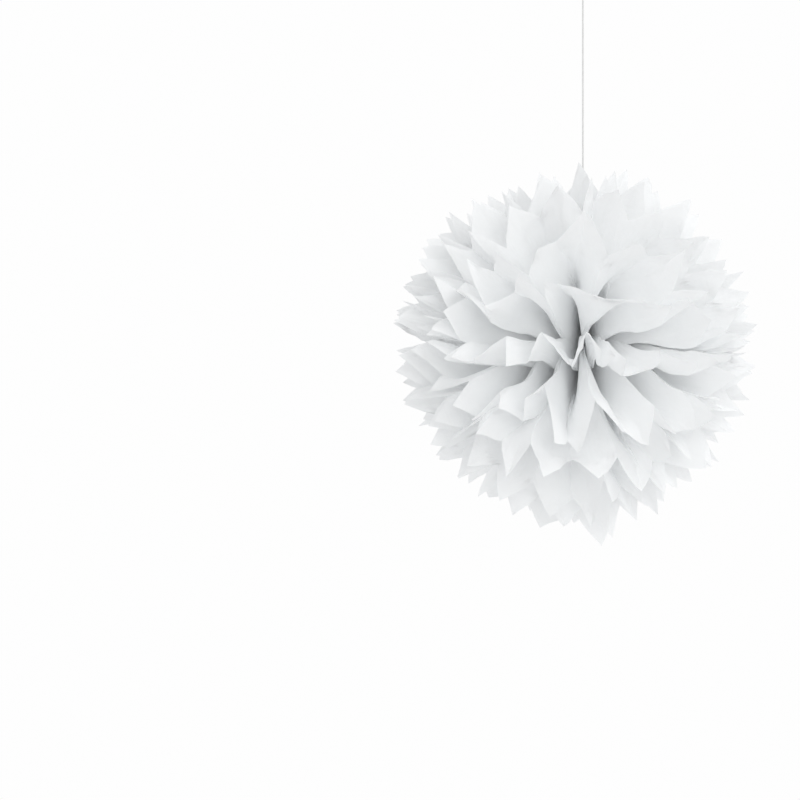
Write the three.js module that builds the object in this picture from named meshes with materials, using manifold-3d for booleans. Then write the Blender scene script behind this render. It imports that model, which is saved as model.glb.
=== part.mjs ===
// Tissue paper pom pom that hangs on a cord. Millimetres, +Z up, origin at the top of the hanging loop.
//
// Ten sheets of tissue are stacked, folded together into one accordion with its folds upright, cut to points at both
// ends and tied round the middle with wire. Above and below the tie each sheet then opens as a half fan. Five sheets are
// pulled towards the front (-Y) and five towards the back, so that the fans stand round the two poles like bowls inside
// each other, and their pointed ends make a ball. The folds of all ten sheets stay in step, as they were folded as one.
import * as THREE from "three";
import { mergeVertices } from "three/addons/utils/BufferGeometryUtils.js";
import Module from "manifold-3d";

const wasm = await Module();
wasm.setup();

// The stack of paper
const PLEATS = 15; // an odd number, so that the cord runs up the middle of a pleat
const PLEAT_WIDTH = 45;
const PAPER = 0.7; // thickness of a sheet's solid; the paper itself is about 0.02
const HALF_LENGTH = 210; // along the paper, from the middle of the tie to the tip of a point
const POINT_DEPTH = 36; // from the notches at the folds to the tips between them
const ROWS = [0, 30, 65, 110]; // how far out from the neck the fans are measured, before the notches
const OPEN_BY = 110; // the pleats are crushed at the neck and whole from this far out

// Where the fans point, in degrees from their pole: at the two sides, and halfway between them. The first is innermost.
const FRONT = { sides: [48, 61, 72, 80, 87], middles: [11, 32, 50, 67, 82] };
const BACK = { sides: [46, 60, 71, 80, 87], middles: [12, 34, 52, 68, 82] };
const ROOM_USED = 0.4; // how much of the room between neighbouring fans each one's zigzag may take on either side
const FAN_END = 2; // degrees between a fan's last ray and where it would meet the other half's at the rim

// The tie
const TIE_DEPTH = 420; // below the top of the loop
const NECK = 6; // half the height of the squeezed part of the innermost sheet
const NECK_STEP = 1.1; // how much further out each next sheet bends away
const BUNDLE_RADIUS = 8.5;
const SHEET_PITCH = 1.3; // between neighbouring sheets in the squeezed stack
const CORD_GAP = 3.6; // between the two middle sheets, where the cord goes up
const CLEAR = 0.3;
const WIRE = 1.2; // diameter
const WIRE_PITCH = 1.6; // between the two turns of wire
const WIRE_TURNS = 2;
const WIRE_Z = -4.3; // the start of the lower turn, from the middle of the tie
const TWIST_LENGTH = 15; // the twisted ends of the wire
const TWIST_RADIUS = 1.2;

// The cord
const CORD = 2; // diameter
const CORD_SIDES = 8;
const CORD_RING_Z = 2.6; // the turn of cord round the neck, from the middle of the tie
const LOOP_LENGTH = 26;
const LOOP_WIDTH = 13;
const KNOT_LENGTH = 9;
const KNOT_RADIUS = 3.2;

const tissue = new THREE.MeshStandardMaterial({ color: 0xf6f7f9, roughness: 0.9, metalness: 0 });
const cordWhite = new THREE.MeshStandardMaterial({ color: 0xf2f2f2, roughness: 0.7, metalness: 0 });
const wireSteel = new THREE.MeshStandardMaterial({ color: 0xb4b6b8, roughness: 0.4, metalness: 1 });

// ---- Solids ------------------------------------------------------------------------------------------------------

function asManifold(geometry) {
  const bare = geometry.index ? geometry.toNonIndexed() : geometry.clone();
  bare.deleteAttribute("normal");
  bare.deleteAttribute("uv");
  const merged = mergeVertices(bare, 1e-3);
  return new wasm.Manifold(
    new wasm.Mesh({
      numProp: 3,
      vertProperties: merged.attributes.position.array,
      triVerts: new Uint32Array(merged.index.array),
    }),
  );
}

function asGeometry(solid) {
  const mesh = solid.getMesh();
  return new THREE.BufferGeometry()
    .setAttribute("position", new THREE.BufferAttribute(mesh.vertProperties, mesh.numProp))
    .setIndex(new THREE.BufferAttribute(mesh.triVerts, 1));
}

function tube(curve, radius, sides, steps) {
  const section = new THREE.Shape();
  for (let k = 0; k < sides; k++) {
    const angle = (2 * Math.PI * k) / sides;
    const place = [radius * Math.cos(angle), radius * Math.sin(angle)];
    if (k === 0) section.moveTo(...place);
    else section.lineTo(...place);
  }
  section.closePath();
  return new THREE.ExtrudeGeometry(section, { extrudePath: curve, steps, bevelEnabled: false });
}

// ---- The sheets --------------------------------------------------------------------------------------------------

const layers = FRONT.sides.length;

// A sheet is known by its face (-1 front, 1 back) and its layer (0 innermost, at the pole).
function neckHeight(layer) {
  return NECK + NECK_STEP * layer;
}

function neckY(face, layer) {
  return face * (CORD_GAP / 2 + SHEET_PITCH * (layers - 1 - layer));
}

function neckHalfWidth(face, layer) {
  return Math.sqrt(BUNDLE_RADIUS ** 2 - neckY(face, layer) ** 2) - CLEAR;
}

// The direction of a fan's ray, at a share u of the way from the fan's left side to its right side.
function direction(face, layer, half, u) {
  const fans = face < 0 ? FRONT : BACK;
  const arc = new THREE.EllipseCurve(
    0,
    0,
    fans.sides[layer],
    fans.middles[layer],
    THREE.MathUtils.degToRad(180 - FAN_END),
    THREE.MathUtils.degToRad(FAN_END),
    true,
  );
  const place = arc.getPointAt(u);
  const closing = Math.atan2(neckHeight(layer), HALF_LENGTH);
  place.y -= THREE.MathUtils.radToDeg(closing) * (place.x / fans.sides[layer]) ** 2;
  const fromPole = THREE.MathUtils.degToRad(place.length());
  const across = place.normalize().multiplyScalar(Math.sin(fromPole));
  return new THREE.Vector3(across.x, face * Math.cos(fromPole), half * across.y);
}

// One ray of a fan: where it starts, its direction, the side of the paper that faces forward, and how far apart it and
// the next ray are at the neck and for each millimetre out.
function makeRay(face, layer, half, u) {
  const step = 1e-3;
  const along = direction(face, layer, half, u);
  const onwards = direction(face, layer, half, Math.min(1, u + step));
  const backwards = direction(face, layer, half, Math.max(0, u - step));
  const across = onwards.sub(backwards).normalize();
  const front = across.cross(along).normalize();
  if (front.y > 0) front.negate();
  const halfWidth = neckHalfWidth(face, layer);
  const start = new THREE.Vector3((2 * u - 1) * halfWidth, neckY(face, layer), half * neckHeight(layer));
  return { start, along, front };
}

function smooth(x) {
  const t = THREE.MathUtils.clamp(x, 0, 1);
  return t * t * (3 - 2 * t);
}

// The angle between a fan and its nearer neighbour, at a share u of the way along it, in radians.
function room(face, layer, u) {
  const fans = face < 0 ? FRONT : BACK;
  const between = (angles, inside) => {
    const outer = layer + 1 < layers ? angles[layer + 1] - angles[layer] : 2 * (90 - angles[layer]);
    const inner = layer > 0 ? angles[layer] - angles[layer - 1] : inside;
    return Math.min(outer, inner);
  };
  const side = between(fans.sides, fans.sides[0]);
  const middle = between(fans.middles, 2 * fans.middles[0]);
  return THREE.MathUtils.degToRad(THREE.MathUtils.lerp(side, middle, Math.sin(Math.PI * u)));
}

// Half the depth of the zigzag at a distance out, for rays that lie `gap` apart there and fans that lie `most` apart.
function zigzag(distance, gap, most) {
  const width = PLEAT_WIDTH * smooth(distance / OPEN_BY);
  const depth = Math.sqrt(Math.max(0, width ** 2 - gap ** 2)) / 2;
  return Math.min(depth, ROOM_USED * most);
}

// One side of the paper's outline, as the points of a grid: a column for each fold, a row for each distance out.
// lift is -1 or 1 for the back or the front surface of the paper.
function surface(face, layer, lift) {
  const tipAt = HALF_LENGTH - neckHeight(layer);
  const distances = [...ROWS, tipAt - POINT_DEPTH];
  const columns = [];
  const tips = [];
  for (const half of [-1, 1]) {
    const rays = [];
    for (let fold = 0; fold <= PLEATS; fold++) rays.push(makeRay(face, layer, half, fold / PLEATS));
    const spread = rays[PLEATS >> 1].along.angleTo(rays[(PLEATS >> 1) + 1].along);
    const neckGap = (2 * neckHalfWidth(face, layer)) / PLEATS;

    const at = (ray, sign, distance, share) => {
      const gap = neckGap + spread * distance;
      const depth = zigzag(distance, gap, room(face, layer, share) * distance);
      const thickness = (PAPER / 2) * Math.hypot(1, (2 * depth) / gap);
      const point = ray.start.clone().addScaledVector(ray.along, distance);
      point.addScaledVector(ray.front, sign * depth);
      if (distance > 0) return point.addScaledVector(ray.front, lift * thickness);
      const mitre = ray.front.clone().add(new THREE.Vector3(0, -1, 0)).normalize();
      return point.addScaledVector(mitre, (lift * PAPER) / 2 / -mitre.y);
    };

    rays.forEach((ray, fold) => {
      const sign = fold % 2 ? -1 : 1;
      const column = distances.map((distance) => at(ray, sign, distance, fold / PLEATS));
      columns[fold] ??= [];
      if (half < 0) columns[fold] = column.reverse();
      else columns[fold].push(...column);
    });
    for (let pleat = 0; pleat < PLEATS; pleat++) {
      const share = (pleat + 0.5) / PLEATS;
      tips.push(at(makeRay(face, layer, half, share), 0, tipAt, share));
    }
  }
  return { columns, tips };
}

function sheetGeometry(face, layer) {
  const sides = [surface(face, layer, 1), surface(face, layer, -1)];
  const rows = sides[0].columns[0].length;
  const points = [];
  const indices = [];
  for (const side of sides) points.push(...side.columns.flat(), ...side.tips);
  const sideSize = points.length / 2;
  const gridIndex = (fold, row) => fold * rows + row;
  const tipIndex = (half, pleat) => (PLEATS + 1) * rows + half * PLEATS + pleat;

  // A face of the front surface, and the same face of the back surface turned over.
  const face3 = (a, b, c) => {
    indices.push(a, b, c, sideSize + a, sideSize + c, sideSize + b);
  };
  for (let pleat = 0; pleat < PLEATS; pleat++) {
    for (let row = 0; row < rows - 1; row++) {
      const corners = [
        gridIndex(pleat, row),
        gridIndex(pleat + 1, row),
        gridIndex(pleat + 1, row + 1),
        gridIndex(pleat, row + 1),
      ];
      face3(corners[0], corners[1], corners[2]);
      face3(corners[0], corners[2], corners[3]);
    }
    face3(gridIndex(pleat + 1, 0), gridIndex(pleat, 0), tipIndex(0, pleat));
    face3(gridIndex(pleat, rows - 1), gridIndex(pleat + 1, rows - 1), tipIndex(1, pleat));
  }

  // The cut edge all round, in the order that the front surface has it on its right.
  const edge = [];
  for (let pleat = 0; pleat < PLEATS; pleat++) edge.push(gridIndex(pleat, 0), tipIndex(0, pleat));
  for (let row = 0; row < rows - 1; row++) edge.push(gridIndex(PLEATS, row));
  for (let pleat = PLEATS - 1; pleat >= 0; pleat--) {
    edge.push(gridIndex(pleat + 1, rows - 1), tipIndex(1, pleat));
  }
  for (let row = rows - 1; row > 0; row--) edge.push(gridIndex(0, row));
  edge.forEach((a, k) => {
    const b = edge[(k + 1) % edge.length];
    indices.push(b, a, sideSize + a, b, sideSize + a, sideSize + b);
  });

  const geometry = new THREE.BufferGeometry().setFromPoints(points);
  geometry.setIndex(indices);
  return geometry;
}

// ---- The tie and the cord ----------------------------------------------------------------------------------------

// Two turns of wire round the neck, with both ends twisted together into a tail at the left.
function tieWire() {
  const ringRadius = BUNDLE_RADIUS + CLEAR + WIRE / 2;
  const turn = 16; // points in a turn
  const route = [];
  const tail = new THREE.Vector3(-ringRadius - TWIST_RADIUS, 0, 0);
  for (let k = 0; k <= turn * WIRE_TURNS; k++) {
    const angle = Math.PI + (2 * Math.PI * k) / turn;
    const z = WIRE_Z + (WIRE_PITCH * k) / turn;
    route.push(new THREE.Vector3(ringRadius * Math.cos(angle), ringRadius * Math.sin(angle), z));
  }
  const middleZ = WIRE_Z + (WIRE_PITCH * WIRE_TURNS) / 2;
  const ring = tube(new THREE.CatmullRomCurve3(route), WIRE / 2, 6, 48);
  const twist = new THREE.CylinderGeometry(TWIST_RADIUS * 0.7, TWIST_RADIUS * 2, TWIST_LENGTH, 6);
  twist.rotateZ(Math.PI / 2);
  twist.translate(tail.x - TWIST_LENGTH / 2 + TWIST_RADIUS * 1.6, 0, middleZ);
  return asGeometry(asManifold(ring).add(asManifold(twist)));
}

// The cord is tied round the neck, rises between the two middle sheets and ends in a knotted loop.
function hangingCord() {
  const ringRadius = BUNDLE_RADIUS + CLEAR + CORD / 2;
  const ring = new THREE.TorusGeometry(ringRadius, CORD / 2, CORD_SIDES, 28);
  ring.translate(0, 0, CORD_RING_Z - TIE_DEPTH);

  const knotSide = ringRadius + 1.2;
  const lowKnot = new THREE.SphereGeometry(CORD, 10, 8);
  lowKnot.translate(knotSide, 0, CORD_RING_Z - TIE_DEPTH);

  const rise = new THREE.CatmullRomCurve3(
    [
      [knotSide, 0, CORD_RING_Z],
      [knotSide - 1, 0, CORD_RING_Z + 6],
      [5.5, 0, 22],
      [1.2, 0, 40],
      [0, 0, 62],
      [0, 0, 80],
    ].map(([x, y, z]) => new THREE.Vector3(x, y, z - TIE_DEPTH)),
  );
  const knotZ = -LOOP_LENGTH - KNOT_LENGTH / 2;
  const upright = new THREE.LineCurve3(
    new THREE.Vector3(0, 0, 79.5 - TIE_DEPTH),
    new THREE.Vector3(0, 0, knotZ),
  );

  const loopTop = -CORD / 2;
  const loop = new THREE.CatmullRomCurve3(
    [
      [-CORD / 2 - 0.2, knotZ],
      [-CORD, -LOOP_LENGTH + 1],
      [-LOOP_WIDTH / 2, -LOOP_LENGTH * 0.45],
      [-LOOP_WIDTH / 3, -LOOP_LENGTH * 0.13],
      [0, loopTop],
      [LOOP_WIDTH / 3, -LOOP_LENGTH * 0.13],
      [LOOP_WIDTH / 2, -LOOP_LENGTH * 0.45],
      [CORD, -LOOP_LENGTH + 1],
      [CORD / 2 + 0.2, knotZ],
    ].map(([x, z]) => new THREE.Vector3(x, 0, z)),
  );
  const knot = new THREE.CapsuleGeometry(KNOT_RADIUS, KNOT_LENGTH - 2 * KNOT_RADIUS, 4, 12);
  knot.rotateX(Math.PI / 2);
  knot.translate(0, 0, knotZ);

  const pieces = [
    ring,
    lowKnot,
    tube(rise, CORD / 2, CORD_SIDES, 18),
    tube(upright, CORD / 2, CORD_SIDES, 1),
    tube(loop, CORD / 2, CORD_SIDES, 28),
    knot,
  ];
  return asGeometry(pieces.map(asManifold).reduce((joined, piece) => joined.add(piece)));
}

// ---- The pom pom -------------------------------------------------------------------------------------------------

const pomPom = new THREE.Group();

function addNode(name, geometry, material, z) {
  const mesh = new THREE.Mesh(geometry, material);
  mesh.name = name;
  mesh.position.z = z;
  pomPom.add(mesh);
}

// Sheets are numbered from the front pole to the back pole.
for (let layer = 0; layer < layers; layer++) {
  addNode(`tissue_sheet_${layer + 1}`, sheetGeometry(-1, layer), tissue, -TIE_DEPTH);
  addNode(`tissue_sheet_${2 * layers - layer}`, sheetGeometry(1, layer), tissue, -TIE_DEPTH);
}
addNode("tie_wire", tieWire(), wireSteel, -TIE_DEPTH);
addNode("hanging_cord", hangingCord(), cordWhite, 0);

export default pomPom;
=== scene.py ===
"""The looks of a tissue paper pom pom that hangs on a twisted cord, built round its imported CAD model.

Ten tissue sheets, folded together and tied in the middle, are each opened from the flat cut sheet
into an upper and a lower fan. Everything is in metres, with the hanging loop at the origin and the
front pole of the ball towards -Y.
"""

import math

import bmesh
import bpy
import numpy as np
from mathutils import Matrix, Vector


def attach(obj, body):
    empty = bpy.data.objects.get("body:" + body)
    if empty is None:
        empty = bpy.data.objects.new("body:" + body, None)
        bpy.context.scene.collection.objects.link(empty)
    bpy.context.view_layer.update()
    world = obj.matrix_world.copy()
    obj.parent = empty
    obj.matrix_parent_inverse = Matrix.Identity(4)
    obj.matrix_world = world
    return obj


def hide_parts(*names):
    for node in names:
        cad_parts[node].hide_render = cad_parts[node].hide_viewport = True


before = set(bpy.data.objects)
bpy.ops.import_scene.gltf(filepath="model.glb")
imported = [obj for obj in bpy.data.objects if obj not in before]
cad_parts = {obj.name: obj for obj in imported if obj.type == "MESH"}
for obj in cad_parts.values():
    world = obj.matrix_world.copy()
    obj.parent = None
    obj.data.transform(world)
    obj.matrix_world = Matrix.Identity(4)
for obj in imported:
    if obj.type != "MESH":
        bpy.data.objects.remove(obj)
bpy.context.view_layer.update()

bl_info = {
    "name": "Tissue Paper Pom Pom",
    "version": (1, 0, 0),
    "blender": (4, 5, 0),
    "location": "3D View > Sidebar > Pom Pom",
    "description": "Builds a hanging pom pom of folded, tied and fanned tissue sheets",
    "category": "Object",
}

MM = 0.001
SHEETS_PER_SIDE = 5
COLUMNS_PER_PLEAT = 8
ROWS_PER_FAN = 38
NECK_ROWS = 3
TAU = 2 * math.pi
SHARP_FOLD = math.radians(42)  # a crease or a cut edge steeper than this isn't smoothed over

# Where each fan points, in degrees from its pole, from the innermost sheet to the outermost:
# at the left side, at the middle and at the right side.
FRONT_UPPER = [(60, 16, 59), (67, 31, 65), (75, 54, 74), (81, 70, 81), (87, 83, 87)]
FRONT_LOWER = [(61, 5, 59), (67, 27, 65), (74, 46, 73), (81, 66, 81), (87, 82, 87)]
BACK_UPPER = [(56, 12, 56), (64, 33, 65), (73, 51, 74), (81, 68, 81), (87, 82, 87)]
BACK_LOWER = [(56, 13, 55), (65, 34, 64), (73, 52, 73), (81, 68, 81), (87, 82, 87)]

CORD_SHARE = 0.512  # where the cord passes the outer upper fans, as a share of the way along them
HOOD = slice(7, 9)  # the pleats of an innermost upper fan that stand wide open over the hollow
HOOD_WIDTH = 2.1  # how wide those pleats are, in mean pleats
CENTRED_FROM = 3  # the layers from this one outwards keep their middle pleat where the cord passes

# The folds stay even near the tie and wander apart between these distances from the neck.
OPEN_FROM = 0.035
OPEN_OVER = 0.10
FULL_WIDTH_AT = 0.045  # where a pleat has its whole width
RAGGED_EDGE = 0.0016  # depth of the unevenness of the cut edge

# Near the tie the pleats are crumpled: how much, and the distances over which it comes and goes.
CRUMPLE = 0.31
CRUMPLE_RISE = 0.02
CRUMPLE_FROM = 0.05
CRUMPLE_OVER = 0.09

# How the ball is out of round: waves as (length, height) and pushes of the whole shape.
DRIFT_WAVES = ((0.19, 1.0), (0.075, 0.3), (0.032, 0.075))
WAVES_EACH = 6
POLE_PUSH = (-0.045, 0, 0.075)
SQUASH = (0.955, 1, 0.98)
SIDE_PUSH = (0.007, 0, 0)
PUSHED_FROM = 0.16  # distance from the tie at which the pushes are whole

ARC_SAMPLES = 721
FLOOR_RADIUS = 1.45
CAMERA_SIDE = -0.196  # the ball stands right of the middle of the view and a little above it
CAMERA_HEIGHT = -0.055
SEEN_WHITE = (0.99, 0.99, 0.99, 1)
LIGHT_WHITE = (0.985, 0.993, 1, 1)
LIGHT_BOUNCES = 200  # light has to find its way out of deep white hollows


# ---- Settings ------------------------------------------------------------------------------------


class PaperSettings(bpy.types.PropertyGroup):
    """The stack of tissue and how loosely it is fluffed out"""

    pleats: bpy.props.IntProperty(
        name="Pleats",
        description="How many pleats the stack is folded into",
        default=15,
        min=5,
        max=31,
    )
    pleat_width: bpy.props.FloatProperty(
        name="Pleat width",
        description="Distance between neighbouring folds in the flat sheet",
        default=0.045,
        unit="LENGTH",
    )
    half_length: bpy.props.FloatProperty(
        name="Half length",
        description="From the tie to the tip of a point, along the paper",
        default=0.210,
        unit="LENGTH",
    )
    point_depth: bpy.props.FloatProperty(
        name="Point depth",
        description="From the notches at the folds to the tips between them",
        default=0.036,
        unit="LENGTH",
    )
    thickness: bpy.props.FloatProperty(
        name="Thickness",
        description="Thickness of the modelled paper",
        default=0.00022,
        unit="LENGTH",
    )
    unevenness: bpy.props.FloatProperty(
        name="Unevenness",
        description="How much the pleats differ in how far they stand open",
        default=0.75,
        min=0,
        max=0.9,
        subtype="FACTOR",
    )
    softness: bpy.props.FloatProperty(
        name="Softness",
        description="How much the creases have relaxed into waves at the tips",
        default=0.5,
        min=0,
        max=1,
        subtype="FACTOR",
    )
    curl: bpy.props.FloatProperty(
        name="Curl",
        description="How far the tips lean out of their fan",
        default=0.022,
        unit="LENGTH",
    )
    drift: bpy.props.FloatProperty(
        name="Drift",
        description="How far the whole ball is pushed out of round",
        default=0.007,
        unit="LENGTH",
    )
    seed: bpy.props.IntProperty(
        name="Seed", description="Start of the random draws", default=22
    )
    color: bpy.props.FloatVectorProperty(
        name="Paper colour",
        description="Colour of the tissue",
        default=(0.996, 0.9985, 1.0),
        subtype="COLOR",
        min=0,
        max=1,
    )


class TieSettings(bpy.types.PropertyGroup):
    """The squeezed neck of the stack and the wire round it"""

    depth: bpy.props.FloatProperty(
        name="Depth",
        description="Height of the loop's top above the tie",
        default=0.420,
        unit="LENGTH",
    )
    radius: bpy.props.FloatProperty(
        name="Neck radius",
        description="Radius of the squeezed stack",
        default=0.0085,
        unit="LENGTH",
    )
    wire: bpy.props.FloatProperty(
        name="Wire", description="Diameter of the wire", default=0.0012, unit="LENGTH"
    )
    color: bpy.props.FloatVectorProperty(
        name="Wire colour",
        description="Colour of the wire",
        default=(0.55, 0.56, 0.57),
        subtype="COLOR",
        min=0,
        max=1,
    )


class CordSettings(bpy.types.PropertyGroup):
    """The hanging cord"""

    diameter: bpy.props.FloatProperty(
        name="Diameter",
        description="Diameter of the cord",
        default=0.002,
        unit="LENGTH",
    )
    strands: bpy.props.IntProperty(
        name="Strands", description="Strands twisted together", default=3, min=2, max=5
    )
    lay_length: bpy.props.FloatProperty(
        name="Lay length",
        description="Length in which the strands turn once",
        default=0.0075,
        unit="LENGTH",
    )
    color: bpy.props.FloatVectorProperty(
        name="Cord colour",
        description="Colour of the cord",
        default=(0.80, 0.80, 0.79),
        subtype="COLOR",
        min=0,
        max=1,
    )


class StageSettings(bpy.types.PropertyGroup):
    """The floor, the lights and the camera"""

    floor_drop: bpy.props.FloatProperty(
        name="Floor drop",
        description="Height of the tie above the floor",
        default=0.78,
        unit="LENGTH",
    )
    view_width: bpy.props.FloatProperty(
        name="View width",
        description="Width of the view at the pom pom",
        default=0.857,
        unit="LENGTH",
    )
    camera_distance: bpy.props.FloatProperty(
        name="Camera distance",
        description="From the camera to the pom pom",
        default=4.2,
        unit="LENGTH",
    )
    sky: bpy.props.FloatProperty(
        name="Surround",
        description="Strength of the even white light from all round",
        default=0.74,
        min=0,
    )
    key: bpy.props.FloatProperty(
        name="Key light",
        description="Power of the large soft light above",
        default=24.0,
        unit="POWER",
    )
    front: bpy.props.FloatProperty(
        name="Front light",
        description="Power of the soft light beside the camera",
        default=20.0,
        unit="POWER",
    )
    back: bpy.props.FloatProperty(
        name="Back light",
        description="Power of the soft light behind, which comes through the outer petals",
        default=16.0,
        unit="POWER",
    )


# ---- Shared helpers ------------------------------------------------------------------------------


def smooth(x):
    t = np.clip(x, 0, 1)
    return t * t * (3 - 2 * t)


def finish_mesh(name, bm, material, smooth_faces=True):
    """Turns a bmesh into an object at the origin with one material."""
    mesh = bpy.data.meshes.new(name)
    bm.to_mesh(mesh)
    bm.free()
    mesh.materials.append(material)
    if smooth_faces:
        mesh.shade_smooth()
    piece = bpy.data.objects.new(name, mesh)
    bpy.context.scene.collection.objects.link(piece)
    return piece


class Nodes:
    """A material's node tree, with short ways to add and join nodes."""

    def __init__(self, name):
        self.material = bpy.data.materials.new(name)
        self.material.use_nodes = True
        self.tree = self.material.node_tree
        self.tree.nodes.clear()

    def add(self, kind, inputs=None, **settings_of_node):
        node = self.tree.nodes.new(kind)
        for key, value in settings_of_node.items():
            setattr(node, key, value)
        for key, value in (inputs or {}).items():
            if isinstance(value, bpy.types.NodeSocket):
                self.tree.links.new(value, node.inputs[key])
            else:
                node.inputs[key].default_value = value
        return node

    def noise(self, vector, scale, detail=3.0, roughness=0.55, distortion=0.0):
        inputs = {
            "Vector": vector,
            "Scale": scale,
            "Detail": detail,
            "Roughness": roughness,
            "Distortion": distortion,
        }
        return self.add("ShaderNodeTexNoise", inputs).outputs["Fac"]

    def ramp(self, value, low, high, from_value=0.3, to_value=0.7):
        node = self.add("ShaderNodeValToRGB", {"Fac": value})
        ends = node.color_ramp.elements
        ends[0].position, ends[1].position = from_value, to_value
        ends[0].color, ends[1].color = (*low, 1), (*high, 1)
        return node.outputs["Color"]

    def math(self, operation, a, b=0.0):
        node = self.add("ShaderNodeMath", {0: a, 1: b}, operation=operation)
        return node.outputs["Value"]

    def bump(self, height, strength, distance, normal=None):
        inputs = {"Height": height, "Strength": strength, "Distance": distance}
        if normal:
            inputs["Normal"] = normal
        return self.add("ShaderNodeBump", inputs).outputs["Normal"]

    def stretched(self, socket, scale):
        node = self.add("ShaderNodeMapping", {"Vector": socket, "Scale": scale})
        return node.outputs["Vector"]

    def output(self, shader):
        self.add("ShaderNodeOutputMaterial", {"Surface": shader})
        return self.material


def tinted(color, factor):
    return tuple(min(1.0, channel * factor) for channel in color)


# ---- Tissue --------------------------------------------------------------------------------------


def tissue_material(color):
    """Thin white tissue: cloudy fibres, fine crinkles, long soft creases, and light coming through."""
    nodes = Nodes("white_tissue")
    flat = nodes.add("ShaderNodeUVMap", uv_map="flat_sheet").outputs["UV"]
    clouds = nodes.noise(flat, 60.0, 4.0, 0.6)
    fibres = nodes.noise(nodes.stretched(flat, (900.0, 260.0, 1.0)), 1.0, 3.0, 0.6)
    crinkles = nodes.noise(flat, 210.0, 2.0, 0.45, 0.6)
    creases = nodes.noise(nodes.stretched(flat, (150.0, 9.0, 1.0)), 1.0, 2.0, 0.5, 0.2)
    shade = nodes.math("ADD", nodes.math("MULTIPLY", clouds, 0.6), nodes.math("MULTIPLY", fibres, 0.4))
    tone = nodes.ramp(shade, tinted(color, 0.998), tinted(color, 1.001), 0.35, 0.65)
    soft = nodes.bump(creases, 0.5, 0.0020)
    crinkled = nodes.bump(crinkles, 0.35, 0.0008, soft)
    normal = nodes.bump(fibres, 0.16, 0.00012, crinkled)
    paper = nodes.add(
        "ShaderNodeBsdfPrincipled",
        {"Base Color": tone, "Roughness": 0.86, "Normal": normal, "Specular IOR Level": 0.18},
    ).outputs["BSDF"]
    through = nodes.add("ShaderNodeBsdfTranslucent", {"Color": tone, "Normal": normal}).outputs["BSDF"]
    return nodes.output(
        nodes.add("ShaderNodeMixShader", {0: 0.45, 1: paper, 2: through}).outputs["Shader"]
    )


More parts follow.
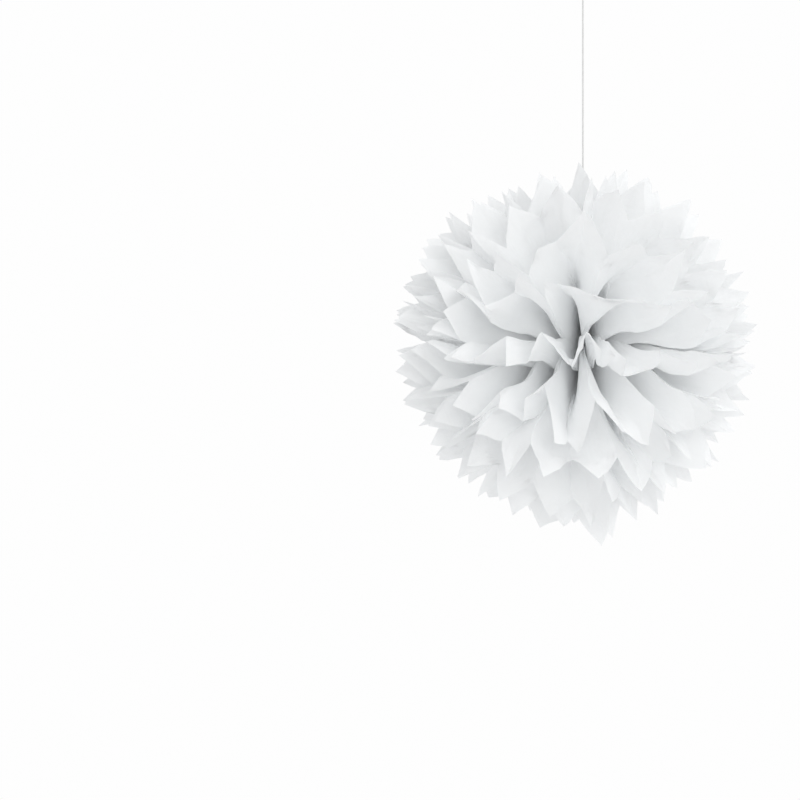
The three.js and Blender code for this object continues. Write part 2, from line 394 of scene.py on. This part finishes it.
class Fan:
    """The upper or lower half of one sheet, opened from the neck."""

    def __init__(self, face, layer, half, fans, paper, tie):
        self.face, self.layer, self.half = face, layer, half
        self.left, self.middle, self.right = fans[layer]
        self.neighbours = fans
        self.paper = paper
        side = 0 if face < 0 else 2
        self.random = np.random.default_rng(paper.seed * 100 + layer * 4 + side + (half > 0))
        self.paper_seams = np.random.default_rng(paper.seed * 100 + layer + 50 * side).uniform(-5, 5, 2)
        pitch, cord_gap = 1.3 * MM, 3.6 * MM
        self.neck_y = face * (cord_gap / 2 + pitch * (SHEETS_PER_SIDE - 1 - layer))
        self.neck_half_width = math.sqrt(tie.radius**2 - self.neck_y**2) - 0.3 * MM
        self.neck_z = (6 + 1.1 * layer) * MM
        self.reach = paper.half_length - self.neck_z
        self.hooded = layer == 0 and half > 0
        self.draw_pleats()
        self.trace_arc()

    def draw_pleats(self):
        """Draws how far each pleat stands open, and how it leans, bows and turns."""
        count = self.paper.pleats
        middling = np.sin(math.pi * (np.arange(count) + 0.5) / count) ** 2
        widths = 1 + self.paper.unevenness * (1 - 0.12 * self.layer) * self.random.uniform(-1, 1, count)
        widths *= 1 + max(0, 0.9 - 0.4 * self.layer) * middling * (1 if self.half > 0 else 0.4)
        if self.hooded:
            widths[HOOD] = HOOD_WIDTH * widths.mean()
        self.folds = np.concatenate([[0], np.cumsum(widths)]) / widths.sum()
        if self.half > 0 and self.layer >= CENTRED_FROM:
            middle = self.folds[count // 2 : count // 2 + 2].mean()
            self.folds = np.interp(self.folds, (0, middle, 1), (0, CORD_SHARE, 1))
        self.even_folds = np.linspace(0, 1, count + 1)
        self.bows = self.random.uniform(-1, 1, count)
        self.lean = self.random.uniform(-1, 1, count)
        self.sway = self.random.uniform(-1, 1, count)
        self.crisp = self.random.uniform(0, 1, count + 1)
        self.tips = self.random.uniform(-1, 1, count)
        self.arch = self.random.uniform(-1, 1, count)
        self.short = self.random.uniform(0, 1, count)
        self.nudge = self.random.uniform(-1, 1, count + 1)
        self.ragged = self.random.uniform(-1, 1, count * COLUMNS_PER_PLEAT + 1)
        if self.hooded:
            self.lean[HOOD] = 1

    def trace_arc(self):
        """Samples the arc of ray directions at even steps, from the fan's left side to its right."""
        turn = np.radians(np.linspace(180, 0, ARC_SAMPLES))
        side = np.where(np.cos(turn) < 0, self.left, self.right)
        x, y = side * np.cos(turn), self.middle * np.sin(turn)
        seam = np.where(np.cos(turn) < 0, *self.paper_seams)
        y += (self.half * seam - math.degrees(self.neck_z / self.reach)) * np.cos(turn) ** 2
        run = np.concatenate([[0], np.cumsum(np.hypot(np.diff(x), np.diff(y)))])
        self.share = np.linspace(0, 1, ARC_SAMPLES)
        at = self.share * run[-1]
        self.arc_x, self.arc_y = np.interp(at, run, x), np.interp(at, run, y)
        self.span = math.radians(run[-1])
        self.room = np.radians(np.interp(at, run, self.clearance(turn)))

    def clearance(self, turn):
        """Degrees to the nearer neighbouring fan, or to the plane between the upper and lower fans."""
        radii = []
        for left, middle, right in self.neighbours:
            side = np.where(np.cos(turn) < 0, left, right)
            radii.append(1 / np.hypot(np.cos(turn) / side, np.sin(turn) / middle))
        here = radii[self.layer]
        outer = radii[self.layer + 1] - here if self.layer + 1 < len(radii) else 2 * (90 - here)
        inner = here - radii[self.layer - 1] if self.layer else 2 * self.middle * np.sin(turn)
        return np.minimum(outer, inner)

    def direction(self, share):
        x = np.interp(share, self.share, self.arc_x)
        y = np.interp(share, self.share, self.arc_y)
        angle = np.hypot(x, y)
        from_pole = np.radians(angle)
        across = np.sin(from_pole) / np.maximum(angle, 1e-9)
        return np.stack(
            [x * across, self.face * np.cos(from_pole), self.half * y * across], axis=-1
        )

    def place(self, across, out):
        """Points of the paper: across is in pleats, out is 0 at the neck and 1 at the cut edge."""
        count, paper = self.paper.pleats, self.paper
        pleat = np.minimum(np.floor(across).astype(int), count - 1)
        t = across - pleat
        point = 1 - np.abs(2 * t - 1)
        length = self.reach - paper.point_depth * (1 - point)
        edge_columns = np.arange(len(self.ragged)) / COLUMNS_PER_PLEAT
        length = length - RAGGED_EDGE * (1 + np.interp(across, edge_columns, self.ragged))
        distance = out * length
        opened = smooth((distance - OPEN_FROM) / OPEN_OVER)

        # The folds are even where the stack is squeezed and wander apart further out.
        fold_a = self.even_folds[pleat] * (1 - opened) + self.folds[pleat] * opened
        fold_b = self.even_folds[pleat + 1] * (1 - opened) + self.folds[pleat + 1] * opened
        share = fold_a + (fold_b - fold_a) * t
        sway = np.interp(across - 0.5, np.arange(count), self.sway)
        share = share + 0.012 * sway * (1 - np.abs(2 * share - 1)) * opened

        # Depth of the zigzag, from the width of a pleat and how far apart its folds are.
        mean_angle = math.radians((self.left + self.right) / 4 + self.middle / 2)
        spread = self.span * (math.sin(mean_angle) / mean_angle)
        width = paper.pleat_width * smooth(distance / FULL_WIDTH_AT)
        neck_gap = 2 * self.neck_half_width / count

        def depth(index):
            index = np.clip(index, 0, count - 1)
            gap_share = (self.folds[index + 1] - self.folds[index]) * opened + (1 - opened) / count
            gap = neck_gap + spread * gap_share * distance
            return np.sqrt(np.maximum(0, width**2 - gap**2)) / 2

        sign = np.where(pleat % 2 == 0, 1.0, -1.0)
        here = depth(pleat)
        height_a = sign * (depth(pleat - 1) + here) / 2
        height_b = -sign * (here + depth(pleat + 1)) / 2
        blend_a = paper.softness * (1 - 0.6 * self.crisp[pleat]) * opened
        blend_b = paper.softness * (1 - 0.6 * self.crisp[pleat + 1]) * opened
        blend = blend_a + (blend_b - blend_a) * t
        fading = 1 - smooth((distance - CRUMPLE_FROM) / CRUMPLE_OVER)
        crumpled = CRUMPLE * smooth(distance / CRUMPLE_RISE) * fading
        eased = t * (1 - blend) + smooth(t) * blend - crumpled * np.sin(TAU * t)
        room = np.interp(share, self.share, self.room) * distance
        nested = smooth(distance / 0.03) * (1 - smooth((distance - 0.03) / 0.09))
        limit = 0.62 * room + (0.013 if self.layer else 0.011) * nested
        height_a = np.clip(height_a, -limit, limit)
        height_b = np.clip(height_b, -limit, limit)
        height_a = height_a + np.minimum(0.005, 0.2 * room) * self.nudge[pleat] * opened
        height_b = height_b + np.minimum(0.005, 0.2 * room) * self.nudge[pleat + 1] * opened
        offset = height_a + (height_b - height_a) * eased
        offset = offset + 0.005 * self.bows[pleat] * 4 * t * (1 - t) * opened
        lean = np.interp(across - 0.5, np.arange(count), self.lean)
        offset = offset + np.minimum(paper.curl, 0.35 * room) * lean * smooth((distance - 0.04) / 0.16)
        arch = np.interp(across - 0.5, np.arange(count), self.arch)
        offset = offset + np.minimum(0.010, 0.25 * room) * arch * np.sin(math.pi * distance / self.reach)
        tip = smooth((distance - self.reach + 2 * paper.point_depth) / (2 * paper.point_depth))
        offset = offset + 0.010 * self.tips[pleat] * tip * point

        along = self.direction(share)
        step = 1e-3
        side = self.direction(np.minimum(share + step, 1)) - self.direction(np.maximum(share - step, 0))
        side /= np.linalg.norm(side, axis=-1, keepdims=True)
        front = np.cross(side, along)
        front *= np.where(front[..., 1:2] > 0, -1, 1)

        start_share = self.even_folds[pleat] + t / count
        start = np.stack(
            [
                (2 * start_share - 1) * self.neck_half_width,
                np.full_like(t, self.neck_y),
                np.full_like(t, self.half * self.neck_z),
            ],
            axis=-1,
        )
        short = np.interp(across - 0.5, np.arange(count), self.short)
        drawn = distance * (1 - (0.05 + 0.008 * self.layer) * short * smooth(distance / 0.12))
        points = start + along * drawn[..., None] + front * offset[..., None]
        return points, distance


def drift_field(paper):
    """A smooth push through space, the same for every sheet, so neighbours are moved together."""
    random = np.random.default_rng(paper.seed)
    waves = []
    for length, height in DRIFT_WAVES:
        for _ in range(WAVES_EACH):
            ahead, aside = random.normal(size=3), random.normal(size=3)
            ahead *= TAU / length / np.linalg.norm(ahead)
            aside *= height * paper.drift / math.sqrt(3) / np.linalg.norm(aside)
            waves.append((ahead, aside, random.uniform(0, TAU)))

    def push(points):
        size = np.linalg.norm(points, axis=-1, keepdims=True)
        toward = np.clip(-points[:, 1:2] / np.maximum(size, 1e-9), 0, 1) ** 2
        points = points + toward * size * np.array([POLE_PUSH])
        points = points * np.array([SQUASH])
        points = points - np.array([SIDE_PUSH]) * smooth(size / PUSHED_FROM)
        total = np.zeros_like(points)
        for ahead, aside, phase in waves:
            total += aside * np.sin(points @ ahead + phase)[..., None]
        return points + total * smooth(size / PUSHED_FROM)

    return push


def build_sheet(number, material, paper, tie):
    """Opens one flat sheet, cut to points at both ends, into its two fans."""
    face = -1 if number <= SHEETS_PER_SIDE else 1
    layer = number - 1 if face < 0 else 2 * SHEETS_PER_SIDE - number
    upper, lower = (FRONT_UPPER, FRONT_LOWER) if face < 0 else (BACK_UPPER, BACK_LOWER)
    fans = {
        1: Fan(face, layer, 1, upper, paper, tie),
        -1: Fan(face, layer, -1, lower, paper, tie),
    }
    rows = 2 * ROWS_PER_FAN + NECK_ROWS
    bm = bmesh.new()
    bmesh.ops.create_grid(
        bm, x_segments=paper.pleats * COLUMNS_PER_PLEAT, y_segments=rows, size=0.5
    )
    grid = np.array([v.co for v in bm.verts])
    across = np.clip((grid[:, 0] + 0.5) * paper.pleats, 0, paper.pleats)
    across = np.round(across * COLUMNS_PER_PLEAT) / COLUMNS_PER_PLEAT
    row = np.round((grid[:, 1] + 0.5) * rows) - rows / 2
    half = np.where(row > 0, 1, -1)
    out = np.maximum(np.abs(row) - NECK_ROWS / 2, 0) / ROWS_PER_FAN

    push = drift_field(paper)
    places = np.zeros_like(grid)
    flat = np.zeros((len(grid), 2))
    for side, fan in fans.items():
        chosen = half == side
        points, distance = fan.place(across[chosen], out[chosen])
        in_neck = out[chosen] == 0
        level = np.minimum(np.abs(row[chosen]) / (NECK_ROWS / 2), 1)
        points[in_neck, 2] = (side * fan.neck_z * level)[in_neck]
        places[chosen] = points
        flat[chosen, 0] = across[chosen] * paper.pleat_width
        flat[chosen, 1] = side * (fan.neck_z * level + distance)
    places = push(places)
    places[:, 2] -= tie.depth
    for vertex, place in zip(bm.verts, places):
        vertex.co = place

    layer_uv = bm.loops.layers.uv.new("flat_sheet")
    bm.verts.index_update()
    for loop_face in bm.faces:
        for loop in loop_face.loops:
            loop[layer_uv].uv = flat[loop.vert.index]
    bmesh.ops.solidify(bm, geom=bm.faces[:], thickness=paper.thickness)
    if bm.calc_volume(signed=True) < 0:
        bmesh.ops.reverse_faces(bm, faces=bm.faces)
    for edge in bm.edges:
        edge.smooth = edge.calc_face_angle(0) < SHARP_FOLD
    return finish_mesh(f"tissue_{number:02d}", bm, material)


class POMPOM_OT_sheets(bpy.types.Operator):
    """Open the ten tissue sheets into their fans"""

    bl_idname = "pompom.sheets"
    bl_label = "Tissue Sheets"

    def execute(self, context):
        paper, tie = context.scene.pompom_paper, context.scene.pompom_tie
        material = tissue_material(paper.color)
        for number in range(1, 2 * SHEETS_PER_SIDE + 1):
            sheet = build_sheet(number, material, paper, tie)
            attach(sheet, "root")
            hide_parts(f"tissue_sheet_{number}")
        return {"FINISHED"}


# ---- The wire ------------------------------------------------------------------------------------


def wire_material(color):
    """Galvanised wire with a faint drawn grain along it."""
    nodes = Nodes("galvanised_wire")
    place = nodes.add("ShaderNodeTexCoord").outputs["Object"]
    bloom = nodes.noise(place, 900.0, 3.0)
    grain = nodes.noise(nodes.stretched(place, (4000.0, 4000.0, 600.0)), 1.0, 2.0)
    metal = nodes.add(
        "ShaderNodeBsdfPrincipled",
        {
            "Base Color": nodes.ramp(bloom, tinted(color, 0.85), tinted(color, 1.1)),
            "Metallic": 1.0,
            "Roughness": nodes.math("ADD", nodes.math("MULTIPLY", bloom, 0.25), 0.25),
            "Normal": nodes.bump(grain, 0.3, 0.0001),
        },
    )
    return nodes.output(metal.outputs["BSDF"])


def bevelled_curve(name, routes, radius, material):
    data = bpy.data.curves.new(name, "CURVE")
    data.dimensions = "3D"
    data.bevel_depth = radius
    data.bevel_resolution = 3
    data.use_fill_caps = True
    data.resolution_u = 3
    for route in routes:
        spline = data.splines.new("POLY")
        spline.points.add(len(route) - 1)
        for point, place in zip(spline.points, route):
            point.co = (*place, 1)
    data.materials.append(material)
    curve = bpy.data.objects.new(name, data)
    bpy.context.scene.collection.objects.link(curve)
    return curve


class POMPOM_OT_wire(bpy.types.Operator):
    """Wind the wire twice round the neck and twist its ends together"""

    bl_idname = "pompom.wire"
    bl_label = "Tie Wire"

    def execute(self, context):
        tie = context.scene.pompom_tie
        ring = tie.radius + 0.3 * MM + tie.wire / 2
        turns, pitch, low = 2, 1.6 * MM, -4.3 * MM
        turn_steps, twist_steps, twist_turns, tail = 48, 72, 3, 13.5 * MM
        around = []
        for step in range(turn_steps * turns + 1):
            angle = math.pi + TAU * step / turn_steps
            height = low + pitch * step / turn_steps - tie.depth
            around.append((ring * math.cos(angle), ring * math.sin(angle), height))
        middle = low + pitch * turns / 2 - tie.depth
        twist = []
        for start in (0, math.pi):
            ends = []
            for step in range(twist_steps + 1):
                along = step / twist_steps
                angle = start + TAU * twist_turns * along
                radius = tie.wire * 0.52
                ends.append(
                    (
                        -ring - tail * along,
                        radius * math.sin(angle),
                        middle + radius * math.cos(angle),
                    )
                )
            twist.append(ends)
        metal = wire_material(tie.color)
        wire = bevelled_curve("tie_wire_wound", [around, *twist], tie.wire / 2, metal)
        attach(wire, "root")
        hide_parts("tie_wire")
        return {"FINISHED"}


# ---- The cord ------------------------------------------------------------------------------------


def cord_material(color, diameter):
    """Twisted white cotton, a little darker between the strands and fuzzy with fine fibres."""
    nodes = Nodes("twisted_cotton")
    around = nodes.add("ShaderNodeUVMap", uv_map="cord_surface").outputs["UV"]
    fibres = nodes.noise(nodes.stretched(around, (5200.0, 1500.0, 1.0)), 1.0, 3.0, 0.6)
    slubs = nodes.noise(nodes.stretched(around, (300.0, 120.0, 1.0)), 1.0, 2.0)
    shade = nodes.math("ADD", nodes.math("MULTIPLY", fibres, 0.5), nodes.math("MULTIPLY", slubs, 0.5))
    cotton = nodes.add(
        "ShaderNodeBsdfPrincipled",
        {
            "Base Color": nodes.ramp(shade, tinted(color, 0.86), tinted(color, 1.06)),
            "Roughness": 0.9,
            "Specular IOR Level": 0.15,
            "Sheen Weight": 0.25,
            "Sheen Roughness": 0.5,
            "Normal": nodes.bump(fibres, 0.5, diameter * 0.06),
        },
    )
    return nodes.output(cotton.outputs["BSDF"])


def resample(points, step):
    """A smooth line through the points, as points an even step apart."""
    points = np.array(points, float)
    ends = np.vstack([2 * points[0] - points[1], points, 2 * points[-1] - points[-2]])
    fine = []
    for a, b, c, d in zip(ends, ends[1:], ends[2:], ends[3:]):
        for t in np.linspace(0, 1, 24, endpoint=False):
            fine.append(
                0.5
                * (
                    2 * b
                    + (c - a) * t
                    + (2 * a - 5 * b + 4 * c - d) * t**2
                    + (3 * b - a - 3 * c + d) * t**3
                )
            )
    fine = np.array([*fine, points[-1]])
    run = np.concatenate([[0], np.cumsum(np.linalg.norm(np.diff(fine, axis=0), axis=1))])
    count = max(2, round(run[-1] / step))
    at = np.linspace(0, run[-1], count + 1)
    return np.stack([np.interp(at, run, fine[:, axis]) for axis in range(3)], axis=-1)


def twisted_tube(name, path, cord, material):
    """A closed tube along the path whose surface is lobed and turned like twisted strands."""
    sides = 8 * cord.strands
    steps = len(path) - 1
    bm = bmesh.new()
    bmesh.ops.create_grid(bm, x_segments=sides, y_segments=steps, size=0.5)
    surface = bm.loops.layers.uv.new("cord_surface")
    run = np.concatenate([[0], np.cumsum(np.linalg.norm(np.diff(path, axis=0), axis=1))])
    tangents = np.gradient(path, axis=0)
    tangents /= np.linalg.norm(tangents, axis=1, keepdims=True)
    normal = Vector(tangents[0]).orthogonal().normalized()
    frames = []
    for step in range(steps + 1):
        tangent = Vector(tangents[step])
        normal = (normal - tangent * normal.dot(tangent)).normalized()
        frames.append((normal.copy(), tangent.cross(normal)))
    for vertex in bm.verts:
        side = (vertex.co.x + 0.5) * sides
        step = round((vertex.co.y + 0.5) * steps)
        angle = TAU * side / sides
        lobes = abs(math.cos(cord.strands / 2 * (angle - TAU * run[step] / cord.lay_length)))
        radius = cord.diameter / 2 * (0.74 + 0.26 * lobes**0.8)
        along, up = frames[step]
        vertex.co = Vector(path[step]) + (along * math.cos(angle) + up * math.sin(angle)) * radius
    bm.verts.index_update()
    columns = sides + 1
    for quad in bm.faces:
        for loop in quad.loops:
            side, step = loop.vert.index % columns, loop.vert.index // columns
            turned = side / sides - run[step] / cord.lay_length
            loop[surface].uv = (turned * math.pi * cord.diameter, run[step])
    bmesh.ops.remove_doubles(bm, verts=bm.verts, dist=cord.diameter * 1e-3)
    open_edges = [edge for edge in bm.edges if edge.is_boundary]
    bmesh.ops.holes_fill(bm, edges=open_edges, sides=0)
    bmesh.ops.recalc_face_normals(bm, faces=bm.faces)
    return finish_mesh(name, bm, material)


class POMPOM_OT_cord(bpy.types.Operator):
    """Tie the cord round the neck, run it up and knot its loop"""

    bl_idname = "pompom.cord"
    bl_label = "Hanging Cord"

    def execute(self, context):
        cord, tie = context.scene.pompom_cord, context.scene.pompom_tie
        material = cord_material(cord.color, cord.diameter)
        low = 2.6 * MM - tie.depth
        ring = tie.radius + 0.3 * MM + cord.diameter / 2
        side = ring + 1.2 * MM
        loop_length, knot_length = 26 * MM, 9 * MM
        knot_z = -loop_length - knot_length / 2

        rise = [
            (side, 0, low),
            (side - 1 * MM, 0, low + 3.4 * MM),
            (5.5 * MM, 0, 22 * MM - tie.depth),
            (1.2 * MM, 0, 40 * MM - tie.depth),
            (0, 0, 62 * MM - tie.depth),
            *[(0, 0, z) for z in np.linspace(80 * MM - tie.depth, knot_z - 0.02, 12)],
        ]
        half_loop = [(2.4, -24), (6.3, -12.5), (4.4, -3.6)]
        loop = [
            (0.3 * MM, 0, knot_z),
            *[(x * MM, 0, z * MM) for x, z in half_loop],
            (0, 0, -cord.diameter / 2),
            *[(-x * MM, 0, z * MM) for x, z in reversed(half_loop)],
            (-1.1 * MM, 0, knot_z),
        ]
        path = resample([*rise, *loop], 0.7 * MM)
        line = twisted_tube("hanging_cord_line", path, cord, material)

        around = [
            (ring * math.cos(angle), ring * math.sin(angle), low)
            for angle in np.linspace(0.1, TAU - 0.1, 40)
        ]
        wrap = twisted_tube("cord_round_neck", resample(around, 0.7 * MM), cord, material)
        knots = [
            self.knot("cord_neck_knot", (side, 0, low), 1.15 * MM, 2.4, cord, material),
            self.knot("cord_loop_knot", (0, 0, knot_z), 1.75 * MM, 3.2, cord, material),
        ]
        for piece in (line, wrap, *knots):
            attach(piece, "root")
        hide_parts("hanging_cord")
        return {"FINISHED"}

    @staticmethod
    def knot(name, centre, radius, turns, cord, material):
        """A short tight winding of the cord round its own run."""
        route = []
        for angle in np.arange(0, TAU * turns, TAU / 14):
            height = (angle / (TAU * turns) - 0.5) * cord.diameter * 0.9 * turns
            route.append(
                (
                    centre[0] + radius * math.cos(angle),
                    centre[1] + radius * math.sin(angle),
                    centre[2] + height,
                )
            )
        return twisted_tube(name, resample(route, 0.6 * MM), cord, material)


# ---- The stage -----------------------------------------------------------------------------------


class POMPOM_OT_stage(bpy.types.Operator):
    """Set up the white floor, the soft lights and the camera"""

    bl_idname = "pompom.stage"
    bl_label = "Stage"

    def execute(self, context):
        stage, tie = context.scene.pompom_stage, context.scene.pompom_tie
        centre = Vector((0, 0, -tie.depth))
        self.floor(stage, centre)
        self.surround(context.scene, stage)
        self.light("key_light", centre + Vector((2.2, -2.0, 2.4)), centre, 2.4, stage.key)
        self.light("front_light", centre + Vector((0.6, -3.4, 0.5)), centre, 1.6, stage.front)
        self.light("back_light", centre + Vector((0.3, 2.6, 0.5)), centre, 2.4, stage.back)
        self.camera(context.scene, stage, centre)
        context.scene.view_settings.view_transform = "Standard"
        context.scene.view_settings.look = "None"
        context.scene.cycles.max_bounces = LIGHT_BOUNCES
        context.scene.cycles.diffuse_bounces = LIGHT_BOUNCES
        return {"FINISHED"}

    @staticmethod
    def floor(stage, centre):
        nodes = Nodes("white_floor")
        place = nodes.add("ShaderNodeTexCoord").outputs["Object"]
        mottle = nodes.noise(place, 3.0, 3.0)
        paint = nodes.add(
            "ShaderNodeBsdfPrincipled",
            {
                "Base Color": nodes.ramp(mottle, (0.93, 0.93, 0.93), (0.96, 0.96, 0.96)),
                "Roughness": 0.9,
                "Normal": nodes.bump(nodes.noise(place, 60.0), 0.05, 0.002),
            },
        )
        material = nodes.output(paint.outputs["BSDF"])
        bm = bmesh.new()
        bmesh.ops.create_circle(bm, cap_ends=True, segments=96, radius=FLOOR_RADIUS)
        bmesh.ops.translate(bm, verts=bm.verts, vec=centre - Vector((0, 0, stage.floor_drop)))
        finish_mesh("floor", bm, material, smooth_faces=False)

    @staticmethod
    def surround(scene, stage):
        world = bpy.data.worlds.new("white_surround")
        scene.world = world
        world.use_nodes = True
        tree = world.node_tree
        tree.nodes.clear()
        seen = tree.nodes.new("ShaderNodeBackground")
        seen.inputs["Color"].default_value = SEEN_WHITE
        lighting = tree.nodes.new("ShaderNodeBackground")
        lighting.inputs["Color"].default_value = LIGHT_WHITE
        lighting.inputs["Strength"].default_value = stage.sky
        path = tree.nodes.new("ShaderNodeLightPath")
        mix = tree.nodes.new("ShaderNodeMixShader")
        out = tree.nodes.new("ShaderNodeOutputWorld")
        tree.links.new(path.outputs["Is Camera Ray"], mix.inputs[0])
        tree.links.new(lighting.outputs[0], mix.inputs[1])
        tree.links.new(seen.outputs[0], mix.inputs[2])
        tree.links.new(mix.outputs[0], out.inputs["Surface"])

    @staticmethod
    def light(name, place, target, size, power):
        data = bpy.data.lights.new(name, "AREA")
        data.shape = "DISK"
        data.size = size
        data.energy = power
        light = bpy.data.objects.new(name, data)
        turn = (target - place).to_track_quat("-Z", "Y").to_matrix().to_4x4()
        light.matrix_world = Matrix.Translation(place) @ turn
        light.visible_camera = False
        bpy.context.scene.collection.objects.link(light)

    @staticmethod
    def camera(scene, stage, centre):
        data = bpy.data.cameras.new("camera")
        data.sensor_width = 36
        data.lens = data.sensor_width * stage.camera_distance / stage.view_width
        data.clip_end = 50
        camera = bpy.data.objects.new("camera", data)
        place = centre + Vector((CAMERA_SIDE, -stage.camera_distance, CAMERA_HEIGHT))
        camera.matrix_world = Matrix.Translation(place) @ Matrix.Rotation(math.pi / 2, 4, "X")
        scene.collection.objects.link(camera)
        scene.camera = camera


# ---- Add-on --------------------------------------------------------------------------------------


class POMPOM_PT_panel(bpy.types.Panel):
    """Builds the pom pom piece by piece"""

    bl_idname = "POMPOM_PT_panel"
    bl_label = "Tissue Pom Pom"
    bl_space_type = "VIEW_3D"
    bl_region_type = "UI"
    bl_category = "Pom Pom"

    def draw(self, context):
        groups = (
            (context.scene.pompom_stage, POMPOM_OT_stage),
            (context.scene.pompom_cord, POMPOM_OT_cord),
            (context.scene.pompom_paper, POMPOM_OT_sheets),
            (context.scene.pompom_tie, POMPOM_OT_wire),
        )
        for group, operator in groups:
            box = self.layout.box()
            for name in group.__annotations__:
                box.prop(group, name)
            box.operator(operator.bl_idname)


SETTINGS = {
    "pompom_paper": PaperSettings,
    "pompom_tie": TieSettings,
    "pompom_cord": CordSettings,
    "pompom_stage": StageSettings,
}
CLASSES = (
    *SETTINGS.values(),
    POMPOM_OT_stage,
    POMPOM_OT_cord,
    POMPOM_OT_sheets,
    POMPOM_OT_wire,
    POMPOM_PT_panel,
)


def register():
    for item in CLASSES:
        bpy.utils.register_class(item)
    for name, group in SETTINGS.items():
        setattr(bpy.types.Scene, name, bpy.props.PointerProperty(type=group))


def unregister():
    for name in SETTINGS:
        delattr(bpy.types.Scene, name)
    for item in reversed(CLASSES):
        bpy.utils.unregister_class(item)


def main():
    register()
    bpy.ops.pompom.stage()
    bpy.ops.pompom.cord()
    bpy.ops.pompom.sheets()
    bpy.ops.pompom.wire()


if __name__ == "__main__":
    main()
